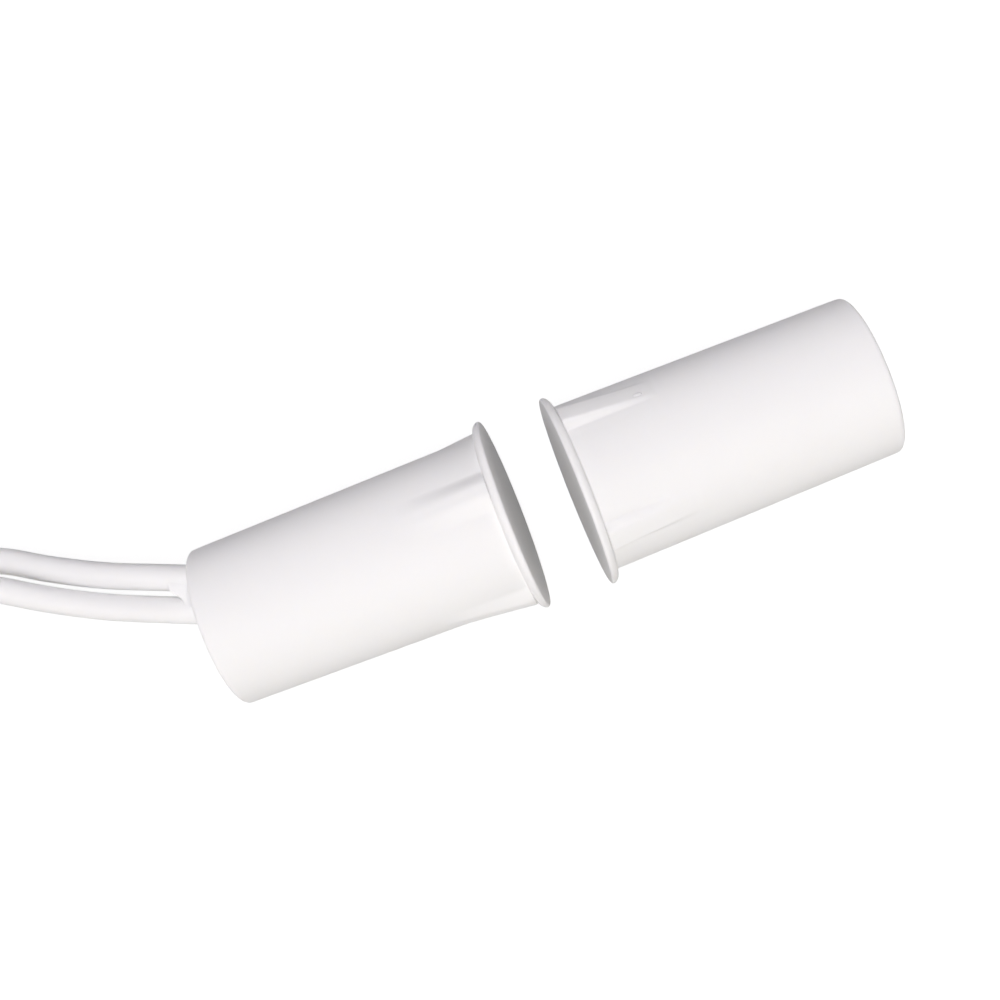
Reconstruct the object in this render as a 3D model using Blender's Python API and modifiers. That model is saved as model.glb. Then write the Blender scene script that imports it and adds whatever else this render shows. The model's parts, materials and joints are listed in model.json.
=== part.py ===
"""Recessed magnetic contact: a reed switch half with two leads, and a magnet half.

Units are metres and +Z is up. Both halves are flanged press-fit shells. They lie on a table
along X, flange faces towards each other, each resting on its flange rim and on the edge of its
open end. A half is drawn in its own frame: the flange face is the plane z = 0, the barrel runs
down -Z, and Y is sideways on the table.
"""

import math

import bmesh
import bpy
import numpy as np
from mathutils import Matrix, Vector

MM = 0.001

# Shells of both halves
BODY_DIAMETER = 9.2 * MM
REAR_DIAMETER = 8.72 * MM
FLANGE_DIAMETER = 10.54 * MM
FLANGE_THICKNESS = 0.45 * MM
FLANGE_ROUNDING = 0.2 * MM
FRONT_WALL = 1.1 * MM
REAR_ROUNDING = 0.3 * MM
FILL_RECESS = 0.4 * MM
FILL_CLIMB = 0.3 * MM
FILL_CLIMB_START = 20
SWITCH_LENGTH = 16.9 * MM
MAGNET_LENGTH = 16.75 * MM
SWITCH_WALL = 0.66 * MM

# Wedge ribs that grip the drilled hole
RIB_COUNT = 4
RIB_WIDTH = 1.4 * MM
RIB_LENGTH = 5.5 * MM
RIB_HEIGHT = 0.5 * MM
RIB_ROOT = 0.275 * MM
SWITCH_RIB_TURN = math.radians(18)
MAGNET_RIB_TURN = math.radians(58)

# How the halves lie
FACE_GAP = 3.34 * MM
HALF_YAW = math.radians(0.3)

# Reed switch
GLASS_DIAMETER = 1.8 * MM
GLASS_WALL = 0.25 * MM
GLASS_LENGTH = 10.0 * MM
GLASS_SEAL = 1.3 * MM
GLASS_ROUNDING = 0.45 * MM
BLADE_WIRE = 0.45 * MM
BLADE_WIDTH = 0.9 * MM
BLADE_THICKNESS = 0.2 * MM
BLADE_OVERLAP = 1.2 * MM
CONTACT_GAP = 0.12 * MM
BLADE_END_SHARE = 5 / 13
REED_SETBACK_SHARE = 2 / 13

# Magnet
MAGNET_DIAMETER = 6.35 * MM
ADHESIVE_LENGTH = 2.43 * MM

# Leads
LEAD_DIAMETER = 1.45 * MM
LEAD_GAP = 0.28 * MM
CORE_DIAMETER = 0.76 * MM
LEAD_IN_FILL = 1.6 * MM
CORE_GAP = 0.06 * MM
EXIT_COVER = 0.08 * MM
EXIT_ANGLE = math.radians(21)
SOLDER_SHARE = 0.6
SOLDER_COVER = 0.22 * MM
CREST_HEIGHT = 1.7 * MM
CREST_WIDTH = 2.3 * MM
TIP_LENGTH = 5.0 * MM
TAIL_LENGTH = 4.5 * MM

# Hank that puts the rest of the leads away
HANK_RUN = 25.0 * MM
HANK_LAYERS = 2
FOLD_DIAMETERS = 3.05
HANK_CENTRE_Y = 2.9 * MM
HANK_DISTANCE = 22.4 * MM
WAIST_RUN = 7.0 * MM
WAIST_DIAMETERS = 4.5
TIE_WIDTH = 2.4 * MM
TIE_THICKNESS = 0.5 * MM
TIE_CORNER = 0.2 * MM
TIE_HEAD = (3.6 * MM, 3.2 * MM, 2.2 * MM)

# Clearances between pieces that touch on the real part
FILL_CLEARANCE = 0.06 * MM
POCKET_WALL = 0.12 * MM
STACK_CLEARANCE = 0.1 * MM
CORD_CLEARANCE = 0.3 * MM

# Facets
SHELL_STEPS = 64
SMALL_STEPS = 24
ROUNDING_STEPS = 4
WAIST_STEPS = 8
FOLD_STEPS = 12

# Route of each lead over the table, as points chosen by hand between the shell and the hank: the
# distance along X and along Y from where the lead leaves the shell, in millimetres, and the
# height as a share of the way up from the hank to there
LEAD_1_ROUTE = [
    (-1.679, 0.704, 0.9538),
    (-4.957, 2.068, 0.7406),
    (-7.898, 3.556, 0.4776),
    (-10.448, 4.987, 0.2699),
    (-13.472, 5.872, 0.0761),
]
LEAD_2_ROUTE = [
    (-2.257, 0.927, 0.7761),
    (-5.473, 2.339, 0.1552),
    (-8.591, 4.024, -0.3676),
    (-10.541, 5.238, -0.5310),
    (-13.793, 7.018, -0.2859),
]

PART_NAME = "recessed_magnetic_contact"
MERGE_DISTANCE = 1e-7

# Derived sizes
BODY_RADIUS = BODY_DIAMETER / 2
REAR_RADIUS = REAR_DIAMETER / 2
FLANGE_RADIUS = FLANGE_DIAMETER / 2
SWITCH_BORE = REAR_RADIUS - SWITCH_WALL
MAGNET_BORE = MAGNET_DIAMETER / 2 + FILL_CLEARANCE
GLASS_RADIUS = GLASS_DIAMETER / 2
WIRE_RADIUS = BLADE_WIRE / 2
LEAD_RADIUS = LEAD_DIAMETER / 2
CORE_RADIUS = CORE_DIAMETER / 2
FILL_END = SWITCH_LENGTH - FILL_RECESS
FOLD_RADIUS = FOLD_DIAMETERS * LEAD_DIAMETER
OUTER_FOLD = FOLD_RADIUS + LEAD_DIAMETER
LAYER_HEIGHT = HANK_LAYERS * LEAD_DIAMETER
LAYER_PITCH = LAYER_HEIGHT + STACK_CLEARANCE


# Scene helpers


def clear_scene():
    for obj in list(bpy.data.objects):
        bpy.data.objects.remove(obj, do_unlink=True)


def new_collection(name):
    collection = bpy.data.collections.new(name)
    bpy.context.scene.collection.children.link(collection)
    return collection


def make_material(name, colour, roughness, metallic=0.0, alpha=1.0):
    material = bpy.data.materials.new(name)
    material.use_nodes = True
    shader = material.node_tree.nodes["Principled BSDF"]
    shader.inputs["Base Color"].default_value = (*colour, 1.0)
    shader.inputs["Roughness"].default_value = roughness
    shader.inputs["Metallic"].default_value = metallic
    shader.inputs["Alpha"].default_value = alpha
    material.diffuse_color = (*colour, alpha)
    return material


def add_object(name, data, collection, parent=None, material=None):
    obj = bpy.data.objects.new(name, data)
    collection.objects.link(obj)
    obj.parent = parent
    if material:
        data.materials.append(material)
    if collection == CUTTERS:
        obj.display_type = "WIRE"
        obj.hide_render = True
    return obj


def turned(name, profile, collection, parent=None, material=None, steps=SHELL_STEPS, ring=False):
    """A solid of revolution about Z, from (radius, z) points that run down its outside."""
    mesh = bpy.data.meshes.new(name)
    points = [(radius, 0.0, z) for radius, z in profile]
    edges = [(i, i + 1) for i in range(len(points) - 1)]
    if ring:
        edges.append((len(points) - 1, 0))
    mesh.from_pydata(points, edges, [])
    obj = add_object(name, mesh, collection, parent, material)
    screw = obj.modifiers.new("turn", "SCREW")
    screw.axis = "Z"
    screw.steps = screw.render_steps = steps
    screw.use_merge_vertices = True
    screw.merge_threshold = MERGE_DISTANCE
    screw.use_smooth_shade = True
    return obj


def arc(centre, radius, start, end, steps=ROUNDING_STEPS):
    """Points (radius, z) of an arc in a profile, with its angles in degrees from +X towards +Z."""
    angles = np.radians(np.linspace(start, end, steps + 1))
    return [(centre[0] + radius * math.cos(a), centre[1] + radius * math.sin(a)) for a in angles]


def extruded(name, outlines, thickness, collection, parent=None, material=None):
    """A flat outline in X and Y, with any holes in it, made thick evenly about z = 0."""
    curve = bpy.data.curves.new(name, "CURVE")
    curve.dimensions = "2D"
    curve.fill_mode = "BOTH"
    curve.extrude = thickness / 2
    for outline in outlines:
        spline = curve.splines.new("POLY")
        spline.points.add(len(outline) - 1)
        for point, (x, y) in zip(spline.points, outline):
            point.co = (x, y, 0.0, 1.0)
        spline.use_cyclic_u = True
    return add_object(name, curve, collection, parent, material)


def tube(name, points, radius, collection, material=None, resolution=2):
    """A round bar along points in the world, with filled ends."""
    curve = bpy.data.curves.new(name, "CURVE")
    curve.dimensions = "3D"
    curve.bevel_depth = radius
    curve.bevel_resolution = resolution
    curve.use_fill_caps = True
    spline = curve.splines.new("POLY")
    spline.points.add(len(points) - 1)
    for point, place in zip(spline.points, points):
        point.co = (*place, 1.0)
    return add_object(name, curve, collection, None, material)


def as_mesh(obj):
    """Replaces an object by the closed mesh that its curve or modifiers make, in the same place."""
    bpy.context.view_layer.update()
    evaluated = obj.evaluated_get(bpy.context.evaluated_depsgraph_get())
    mesh = bpy.data.meshes.new_from_object(evaluated)
    welded = bmesh.new()
    welded.from_mesh(mesh)
    bmesh.ops.remove_doubles(welded, verts=welded.verts, dist=MERGE_DISTANCE)
    welded.to_mesh(mesh)
    welded.free()
    name = obj.name
    collection = obj.users_collection[0]
    parent = obj.parent
    place = obj.matrix_world.copy()
    bpy.data.objects.remove(obj, do_unlink=True)
    mesh.name = name
    solid = add_object(name, mesh, collection, parent)
    solid.matrix_world = place
    return solid


def combine(obj, other, operation):
    modifier = obj.modifiers.new(other.name, "BOOLEAN")
    modifier.operation = operation
    modifier.object = other


def ellipsoid(name, centre, radii, collection, parent=None, material=None):
    mesh = bpy.data.meshes.new(name)
    ball = bmesh.new()
    shape = Matrix.Diagonal((*radii, 1.0)) @ Matrix.Rotation(math.pi / SMALL_STEPS, 4, "Z")
    rings = SMALL_STEPS // 2
    bmesh.ops.create_uvsphere(
        ball, u_segments=SMALL_STEPS, v_segments=rings, radius=1.0, matrix=shape
    )
    ball.to_mesh(mesh)
    ball.free()
    mesh.shade_smooth()
    obj = add_object(name, mesh, collection, parent, material)
    obj.location = centre
    return obj


def block(name, centre, size, collection, parent=None, material=None):
    mesh = bpy.data.meshes.new(name)
    cube = bmesh.new()
    bmesh.ops.create_cube(cube, size=1.0, matrix=Matrix.Diagonal((*size, 1.0)))
    cube.to_mesh(mesh)
    cube.free()
    obj = add_object(name, mesh, collection, parent, material)
    obj.location = centre
    return obj


def smooth_path(points, spacing):
    """Points a steady distance apart on the smooth curve through some chosen ones."""
    knots = np.array([tuple(p) for p in points])
    steps = np.linalg.norm(np.diff(knots, axis=0), axis=1)
    at = np.concatenate([[0.0], np.cumsum(steps)])
    slopes = np.gradient(knots, at, axis=0)
    wanted = np.linspace(0.0, at[-1], max(2, round(at[-1] / spacing)) + 1)
    path = []
    for s in wanted:
        i = min(int(np.searchsorted(at, s, side="right")) - 1, len(steps) - 1)
        h = steps[i]
        t = (s - at[i]) / h
        start = (1 + 2 * t) * (1 - t) ** 2 * knots[i] + t * (1 - t) ** 2 * h * slopes[i]
        end = t * t * (3 - 2 * t) * knots[i + 1] + t * t * (t - 1) * h * slopes[i + 1]
        path.append(tuple(start + end))
    return path


def lengthened(path, by):
    """A path made longer at its start by a given length."""
    start = Vector(path[0])
    back = (start - Vector(path[1])).normalized() * by
    return [tuple(start + back), *path]


# How a half lies on the table


def resting_pitch(length):
    """The slope of a half that lies on its flange rim and on its rear edge."""
    run = length - REAR_ROUNDING - FLANGE_THICKNESS + FLANGE_ROUNDING
    rise = FLANGE_RADIUS - FLANGE_ROUNDING - REAR_RADIUS + REAR_ROUNDING
    shift = FLANGE_ROUNDING - REAR_ROUNDING
    return math.asin(shift / math.hypot(run, rise)) + math.atan2(rise, run)


def face_height(pitch):
    low_edge = (FLANGE_THICKNESS - FLANGE_ROUNDING) * math.sin(pitch)
    return low_edge + (FLANGE_RADIUS - FLANGE_ROUNDING) * math.cos(pitch) + FLANGE_ROUNDING


def rear_reach(length, pitch):
    """How far behind the flange face the shell's rear edge reaches along X."""
    along = math.cos(pitch) * math.cos(HALF_YAW)
    across = math.sqrt(1.0 - along * along)
    return (length - REAR_ROUNDING) * along + (REAR_RADIUS - REAR_ROUNDING) * across + REAR_ROUNDING


def crest_reach(pitch):
    """How far behind the switch half's flange face the crest of the fill reaches along X."""
    turn = half_matrix(1, pitch, 0.0).to_3x3()
    centre = turn @ Vector(CREST_CENTRE)
    across = turn.transposed() @ Vector((1.0, 0.0, 0.0))
    return -centre.x + math.sqrt(sum((radius * part) ** 2 for radius, part in zip(CREST_RADII, across)))


def half_matrix(side, pitch, face_x):
    """The place of a half whose face looks along +X for side 1, or along -X for side -1."""
    turn = Matrix.Rotation(-side * HALF_YAW, 4, "Z") @ Matrix.Rotation(side * (math.pi / 2 - pitch), 4, "Y")
    return Matrix.Translation((face_x, 0.0, face_height(pitch))) @ turn


def half_frame(name, matrix):
    frame = bpy.data.objects.new(name, None)
    PARTS.objects.link(frame)
    frame.empty_display_size = BODY_RADIUS
    frame.matrix_world = matrix
    return frame


# The shells


def shell_profile(length, bore):
    """The shell's section, from the flange face round the rim and barrel to the bore's end."""
    rim = FLANGE_RADIUS - FLANGE_ROUNDING
    lip = REAR_RADIUS - REAR_ROUNDING
    return [
        (0.0, 0.0),
        *arc((rim, -FLANGE_ROUNDING), FLANGE_ROUNDING, 90, 0),
        *arc((rim, -FLANGE_THICKNESS + FLANGE_ROUNDING), FLANGE_ROUNDING, 0, -90),
        (BODY_RADIUS, -FLANGE_THICKNESS),
        *arc((lip, -length + REAR_ROUNDING), REAR_ROUNDING, 0, -90),
        (bore, -length),
        (bore, -FRONT_WALL),
        (0.0, -FRONT_WALL),
    ]


def barrel_radius(depth, length):
    share = (depth - FLANGE_THICKNESS) / (length - FLANGE_THICKNESS)
    return BODY_RADIUS + share * (REAR_RADIUS - BODY_RADIUS)


def add_ribs(shell, frame, length, turn, up):
    """Joins the ribs to a shell, the first one turned from the top of the half towards +Y."""
    tail = barrel_radius(RIB_LENGTH, length)
    side_view = [
        (BODY_RADIUS + RIB_HEIGHT, -FLANGE_THICKNESS / 2),
        (tail, -RIB_LENGTH),
        (tail - RIB_ROOT, -RIB_LENGTH),
        (BODY_RADIUS - RIB_ROOT, -FLANGE_THICKNESS / 2),
    ]
    for i in range(RIB_COUNT):
        rib = extruded(f"{shell.name}_rib_{i + 1}", [side_view], RIB_WIDTH, CUTTERS, frame)
        around = turn + i * 2 * math.pi / RIB_COUNT
        angle = around if up > 0 else math.pi - around
        rib.matrix_basis = Matrix.Rotation(angle, 4, "Z") @ Matrix.Rotation(math.pi / 2, 4, "X")
        combine(shell, as_mesh(rib), "UNION")


def make_shell(name, frame, length, bore, rib_turn, up, material):
    shell = turned(name, shell_profile(length, bore), PARTS, frame, material)
    add_ribs(shell, frame, length, rib_turn, up)
    return shell


# Magnet half


def make_magnet_half(frame):
    turn = MAGNET_RIB_TURN
    make_shell("magnet_housing", frame, MAGNET_LENGTH, MAGNET_BORE, turn, 1, WHITE_PLASTIC)
    front = -FRONT_WALL - FILL_CLEARANCE
    fill_rear = FILL_RECESS - MAGNET_LENGTH
    fill_front = fill_rear + ADHESIVE_LENGTH
    rear = fill_front + FILL_CLEARANCE
    edge = FLANGE_ROUNDING
    radius = MAGNET_DIAMETER / 2
    steps = ROUNDING_STEPS // 2
    rod = [(0.0, front), *arc((radius - edge, front - edge), edge, 90, 0, steps)]
    rod += [*arc((radius - edge, rear + edge), edge, 0, -90, steps), (0.0, rear)]
    turned("magnet_rod", rod, PARTS, frame, MAGNET_METAL, SHELL_STEPS // 2)
    fill_radius = MAGNET_BORE - FILL_CLEARANCE
    fill = plug_profile(fill_radius, fill_front, fill_rear)
    turned("magnet_adhesive", fill, PARTS, frame, COMPOUND)


def plug_profile(radius, front, rear):
    """A cast fill with a flat front, and a flat rear that climbs the bore's wall in a hollow curve."""
    climb = arc((radius - FILL_CLIMB, rear - FILL_CLIMB), FILL_CLIMB, FILL_CLIMB_START, 90)
    return [(0.0, front), (radius, front), (radius, climb[0][1]), *climb, (0.0, rear)]


# Switch half: places of the reed and the leads, stacked from the bore's wall inwards

EXIT_EDGE = SWITCH_BORE - EXIT_COVER - FILL_CLEARANCE
EXIT_PITCH = LEAD_DIAMETER / math.cos(EXIT_ANGLE) + LEAD_GAP
OUTER_EXIT = EXIT_EDGE - LEAD_RADIUS / math.cos(EXIT_ANGLE)
INNER_EXIT = OUTER_EXIT - EXIT_PITCH
LEAD_START = SWITCH_LENGTH - LEAD_IN_FILL
OUTER_START = OUTER_EXIT - LEAD_IN_FILL * math.tan(EXIT_ANGLE)
INNER_START = OUTER_START - LEAD_DIAMETER / math.cos(EXIT_ANGLE) - 2 * FILL_CLEARANCE
SOLDER_PITCH = WIRE_RADIUS + CORE_RADIUS + CORE_GAP
GLASS_PASS = GLASS_RADIUS + CORE_RADIUS + 2 * FILL_CLEARANCE + POCKET_WALL
REED_Y = min(INNER_START - SOLDER_PITCH, OUTER_START - GLASS_PASS)
REED_ROOM = LEAD_START - FRONT_WALL - GLASS_LENGTH
BLADE_END = BLADE_END_SHARE * REED_ROOM
SOLDER_LENGTH = SOLDER_SHARE * BLADE_END
REED_FRONT = FRONT_WALL + REED_SETBACK_SHARE * REED_ROOM
GLASS_FRONT = REED_FRONT + BLADE_END
GLASS_REAR = GLASS_FRONT + GLASS_LENGTH
REED_REAR = GLASS_REAR + BLADE_END
SOLDER_FRONT = REED_FRONT + SOLDER_LENGTH / 2
SOLDER_REAR = REED_REAR - SOLDER_LENGTH / 2
CREST_Y = (OUTER_EXIT + INNER_EXIT) / 2
CREST_CENTRE = (0.0, CREST_Y, FILL_CLIMB - FILL_END)
CREST_RADII = (CREST_WIDTH / 2, EXIT_EDGE - CREST_Y, CREST_HEIGHT + FILL_CLIMB)
POINTS_IN_FILL = math.ceil((LEAD_IN_FILL + CREST_HEIGHT) / LEAD_DIAMETER) + 2

SWITCH_PITCH = resting_pitch(SWITCH_LENGTH)
MAGNET_PITCH = resting_pitch(MAGNET_LENGTH)
SWITCH_REACH = max(rear_reach(SWITCH_LENGTH, SWITCH_PITCH), crest_reach(SWITCH_PITCH))
MAGNET_REACH = rear_reach(MAGNET_LENGTH, MAGNET_PITCH)
SWITCH_FACE_X = (SWITCH_REACH - MAGNET_REACH - FACE_GAP) / 2
SWITCH_MATRIX = half_matrix(1, SWITCH_PITCH, SWITCH_FACE_X)
MAGNET_MATRIX = half_matrix(-1, MAGNET_PITCH, SWITCH_FACE_X + FACE_GAP)
HANK_NEAR_X = SWITCH_FACE_X - SWITCH_LENGTH - HANK_DISTANCE


def glass_profile(grow=0.0):
    """The envelope's section: round sealed ends, a passage for each wire, and the gas space.

    A section made larger than the glass is that of the solid pocket that it sits in.
    """
    half = GLASS_LENGTH / 2 + grow
    centre = GLASS_RADIUS + grow - GLASS_ROUNDING
    passage = WIRE_RADIUS + FILL_CLEARANCE
    bore = GLASS_RADIUS - GLASS_WALL
    seal = GLASS_LENGTH / 2 - GLASS_SEAL
    outside = arc((centre, half - GLASS_ROUNDING), GLASS_ROUNDING, 90, 0)
    outside += arc((centre, GLASS_ROUNDING - half), GLASS_ROUNDING, 0, -90)
    if grow:
        return [(0.0, half), *outside, (0.0, -half)]
    space = [(bore, GLASS_WALL - seal), (bore, seal - GLASS_WALL)]
    ends = [(passage, half), *outside, (passage, -half)]
    return [*ends, (passage, -seal), *space, (passage, seal)]


def make_blade(name, frame, direction, material):
    """A blade from one end of the glass: a round wire, then a flat paddle beside the axis."""
    middle = -(GLASS_FRONT + GLASS_REAR) / 2
    reach = GLASS_LENGTH / 2 + BLADE_END
    wire_end = GLASS_LENGTH / 2 - GLASS_SEAL - BLADE_WIDTH / 2
    offset = direction * (CONTACT_GAP + BLADE_THICKNESS) / 2
    paddle_end = -BLADE_OVERLAP / 2
    paddle_start = wire_end + BLADE_WIDTH / 2
    section = [(0.0, reach), (WIRE_RADIUS, reach), (WIRE_RADIUS, wire_end), (0.0, wire_end)]
    wire = turned(name, section, PARTS, frame, material, SMALL_STEPS // 2)
    wire.location = (0.0, REED_Y, middle)
    wire.rotation_euler.x = 0.0 if direction > 0 else math.pi
    size = (BLADE_THICKNESS, BLADE_WIDTH, paddle_start - paddle_end)
    centre_z = direction * (paddle_start + paddle_end) / 2
    paddle = block(name + "_paddle", (offset, REED_Y, middle + centre_z), size, CUTTERS, frame)
    combine(wire, paddle, "UNION")


def half_points(matrix, points):
    """Points (y, depth) of the switch half, in the plane of the leads, as places in the world."""
    return [tuple(matrix @ Vector((0.0, y, -depth))) for y, depth in points]


def core_points():
    """Both stripped conductor ends as (y, depth) points, from the solder back to the insulation."""
    beside = REED_Y + SOLDER_PITCH
    passing = max(REED_Y + GLASS_PASS, OUTER_START - CORE_RADIUS / 2)
    stop = LEAD_START - CORE_GAP
    soldered = REED_FRONT + SOLDER_LENGTH - CORE_GAP
    outer = [(beside, REED_FRONT), (beside, soldered), (passing, GLASS_FRONT + CORE_GAP)]
    outer += [(passing, GLASS_REAR - GLASS_RADIUS), (OUTER_START, stop - CORE_RADIUS), (OUTER_START, stop)]
    inner = [(beside, GLASS_REAR + CORE_GAP), (beside, REED_REAR), (INNER_START, stop)]
    return outer, inner


def lead_path(matrix, start_y, exit_y, route, entry_z):
    """A lead from its end in the fill, out of the shell and over the table to the hank."""
    inside = half_points(matrix, [(start_y, LEAD_START), (exit_y, SWITCH_LENGTH)])
    exit_x, exit_y, exit_z = inside[-1]
    rise = exit_z - entry_z
    entry = (HANK_NEAR_X + fold_reach(), HANK_CENTRE_Y + OUTER_FOLD, entry_z)
    chosen = [(exit_x + x * MM, exit_y + y * MM, entry_z + share * rise) for x, y, share in route]
    return smooth_path([*inside, *chosen, entry], LEAD_DIAMETER)


def make_solder(name, frame, depth, bores):
    middle = REED_Y + SOLDER_PITCH / 2
    sides = SOLDER_PITCH / 2 + CORE_RADIUS + SOLDER_COVER
    radii = (CORE_RADIUS + SOLDER_COVER, sides, SOLDER_LENGTH / 2)
    joint = ellipsoid(name, (0.0, middle, -depth), radii, PARTS, frame, SOLDER)
    for bore in bores:
        combine(joint, bore, "DIFFERENCE")
    grown = tuple(radius + FILL_CLEARANCE for radius in radii)
    return ellipsoid(name + "_pocket", (0.0, middle, -depth), grown, CUTTERS, frame)


def make_reed(frame):
    """The glass with both blades, and the pockets that it and its wires leave in the fill."""
    middle = (0.0, REED_Y, -(GLASS_FRONT + GLASS_REAR) / 2)
    glass = turned("reed_glass", glass_profile(), PARTS, frame, GLASS, SMALL_STEPS, ring=True)
    glass.location = middle
    make_blade("reed_blade_front", frame, 1, REED_METAL)
    make_blade("reed_blade_rear", frame, -1, REED_METAL)

    grown = glass_profile(FILL_CLEARANCE)
    glass_pocket = turned("glass_pocket", grown, CUTTERS, frame, None, SMALL_STEPS)
    glass_pocket.location = middle
    bore = WIRE_RADIUS + FILL_CLEARANCE
    reach = GLASS_LENGTH / 2 + BLADE_END + FILL_CLEARANCE
    section = [(0.0, reach), (bore, reach), (bore, -reach), (0.0, -reach)]
    wire_pocket = turned("wire_pocket", section, CUTTERS, frame, None, SMALL_STEPS // 2)
    wire_pocket.location = middle
    return glass_pocket, wire_pocket


def make_cores(matrix):
    """The leads' stripped ends in the fill, and their pockets."""
    pockets = []
    for i, points in enumerate(core_points(), start=1):
        path = smooth_path(half_points(matrix, points), CORE_DIAMETER)
        tube(f"lead_{i}_core", path, CORE_RADIUS, PARTS, COPPER)
        longer = lengthened(lengthened(path, CORE_GAP)[::-1], 2 * CORE_GAP)
        pocket = tube(f"core_{i}_pocket", longer, CORE_RADIUS + FILL_CLEARANCE, CUTTERS)
        pockets.append(as_mesh(pocket))
    return pockets


def make_leads(matrix):
    """The leads' loose stretch up to the hank, and the pockets of their ends in the fill."""
    starts = (OUTER_START, INNER_START)
    exits = (OUTER_EXIT, INNER_EXIT)
    routes = (LEAD_1_ROUTE, LEAD_2_ROUTE)
    pockets = []
    for i in range(2):
        entry_z = i * LAYER_PITCH + LEAD_RADIUS
        path = lead_path(matrix, starts[i], exits[i], routes[i], entry_z)
        tube(f"lead_{i + 1}", path, LEAD_RADIUS, PARTS, LEAD_PLASTIC)
        inside = lengthened(path[:POINTS_IN_FILL], FILL_CLEARANCE)
        pocket = tube(f"lead_{i + 1}_pocket", inside, LEAD_RADIUS + FILL_CLEARANCE, CUTTERS)
        pockets.append(as_mesh(pocket))
    return pockets


def make_switch_half(frame, matrix):
    turn = SWITCH_RIB_TURN
    make_shell("switch_housing", frame, SWITCH_LENGTH, SWITCH_BORE, turn, -1, WHITE_PLASTIC)
    glass_pocket, wire_pocket = make_reed(frame)
    cores = make_cores(matrix)
    pockets = [glass_pocket, wire_pocket, *cores]
    joints = (("solder_joint_front", SOLDER_FRONT), ("solder_joint_rear", SOLDER_REAR))
    for (name, depth), core in zip(joints, cores):
        pockets.append(make_solder(name, frame, depth, [wire_pocket, core]))
    pockets += make_leads(matrix)

    radius = SWITCH_BORE - FILL_CLEARANCE
    fill = plug_profile(radius, -FRONT_WALL - FILL_CLEARANCE, -FILL_END)
    compound = turned("potting_compound", fill, PARTS, frame, COMPOUND)
    crest = ellipsoid("fill_crest", CREST_CENTRE, CREST_RADII, CUTTERS, frame)
    combine(compound, crest, "UNION")
    hollows = new_collection("fill_pockets")
    for pocket in pockets:
        hollows.objects.link(pocket)
    cut = compound.modifiers.new("pockets", "BOOLEAN")
    cut.operand_type = "COLLECTION"
    cut.collection = hollows


# The hank


def hank_half_width():
    return OUTER_FOLD + LEAD_RADIUS


def waist_half_width():
    return WAIST_DIAMETERS * LEAD_DIAMETER / 2


def fold_reach():
    """How far past a fold's centre the outer turn's line comes out of the hank's round end."""
    chord = math.sqrt(hank_half_width() ** 2 - (OUTER_FOLD - LEAD_RADIUS) ** 2)
    return chord + CORD_CLEARANCE


def hank_side(t, fold, waist):
    """Half the hank's width, from the end of its waist at t = 0 to where the fold starts at t = 1."""
    return waist + (fold - waist) * t * t * (3 - 2 * t)


def hank_outline():
    """The outer edge of the folded leads: round ends, drawn in to a waist at the tie."""
    fold = hank_half_width()
    waist = waist_half_width()
    middle = HANK_NEAR_X - HANK_RUN / 2
    slope = np.linspace(0.0, 1.0, WAIST_STEPS + 1)
    bend = np.radians(np.linspace(90, -90, FOLD_STEPS + 1))[1:-1]
    points = []
    for side in (1, -1):
        lengths = [WAIST_RUN + t * (HANK_RUN - WAIST_RUN) for t in slope]
        run = [(length / 2, hank_side(t, fold, waist)) for length, t in zip(lengths, slope)]
        points += [(middle + side * x, HANK_CENTRE_Y + side * y) for x, y in reversed(run)]
        points += [(middle - side * x, HANK_CENTRE_Y + side * y) for x, y in run]
        end = middle - side * HANK_RUN / 2
        for angle in bend:
            x = end - side * fold * math.cos(angle)
            points.append((x, HANK_CENTRE_Y + side * fold * math.sin(angle)))
    return points


def make_hank_layer(name, low, notch):
    layer = extruded(name, [hank_outline()], LAYER_HEIGHT, PARTS, None, LEAD_PLASTIC)
    layer.location.z = low + LAYER_HEIGHT / 2
    solid = as_mesh(layer)
    solid.data.materials.append(LEAD_PLASTIC)
    if notch:
        combine(solid, notch, "DIFFERENCE")


def make_hank():
    top = LAYER_PITCH + LAYER_HEIGHT
    middle = (HANK_NEAR_X - HANK_RUN / 2, HANK_CENTRE_Y)
    inner_low = TIE_THICKNESS
    inner_high = top + STACK_CLEARANCE
    notch_high = inner_low + STACK_CLEARANCE
    notch_size = (TIE_WIDTH + 2 * CORD_CLEARANCE, 4 * waist_half_width(), 2 * notch_high)
    notch = block("tie_notch", (*middle, 0.0), notch_size, CUTTERS)
    make_hank_layer("lead_1_hank", 0.0, notch)
    make_hank_layer("lead_2_hank", LAYER_PITCH, None)

    half_width = waist_half_width() + STACK_CLEARANCE
    half_height = (inner_high - inner_low) / 2
    grown = (half_width + TIE_THICKNESS, half_height + TIE_THICKNESS, TIE_CORNER + TIE_THICKNESS)
    loops = [rounded_rectangle(*grown), rounded_rectangle(half_width, half_height, TIE_CORNER)]
    band = extruded("hank_tie", loops, TIE_WIDTH, PARTS, None, TIE_PLASTIC)
    upright = Matrix.Rotation(math.pi / 2, 4, "Z") @ Matrix.Rotation(math.pi / 2, 4, "X")
    band.matrix_basis = Matrix.Translation((*middle, inner_low + half_height)) @ upright
    tie = as_mesh(band)
    tie.data.materials.append(TIE_PLASTIC)
    head_z = inner_high + TIE_THICKNESS / 2 + TIE_HEAD[2] / 2
    head = block("tie_head", (*middle, head_z), TIE_HEAD, CUTTERS)
    combine(tie, head, "UNION")


def rounded_rectangle(half_width, half_height, radius):
    corners = [(1, 1, 0), (-1, 1, 90), (-1, -1, 180), (1, -1, 270)]
    points = []
    for across, up, start in corners:
        centre = (across * (half_width - radius), up * (half_height - radius))
        points += arc(centre, radius, start, start + 90)
    return points


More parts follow.
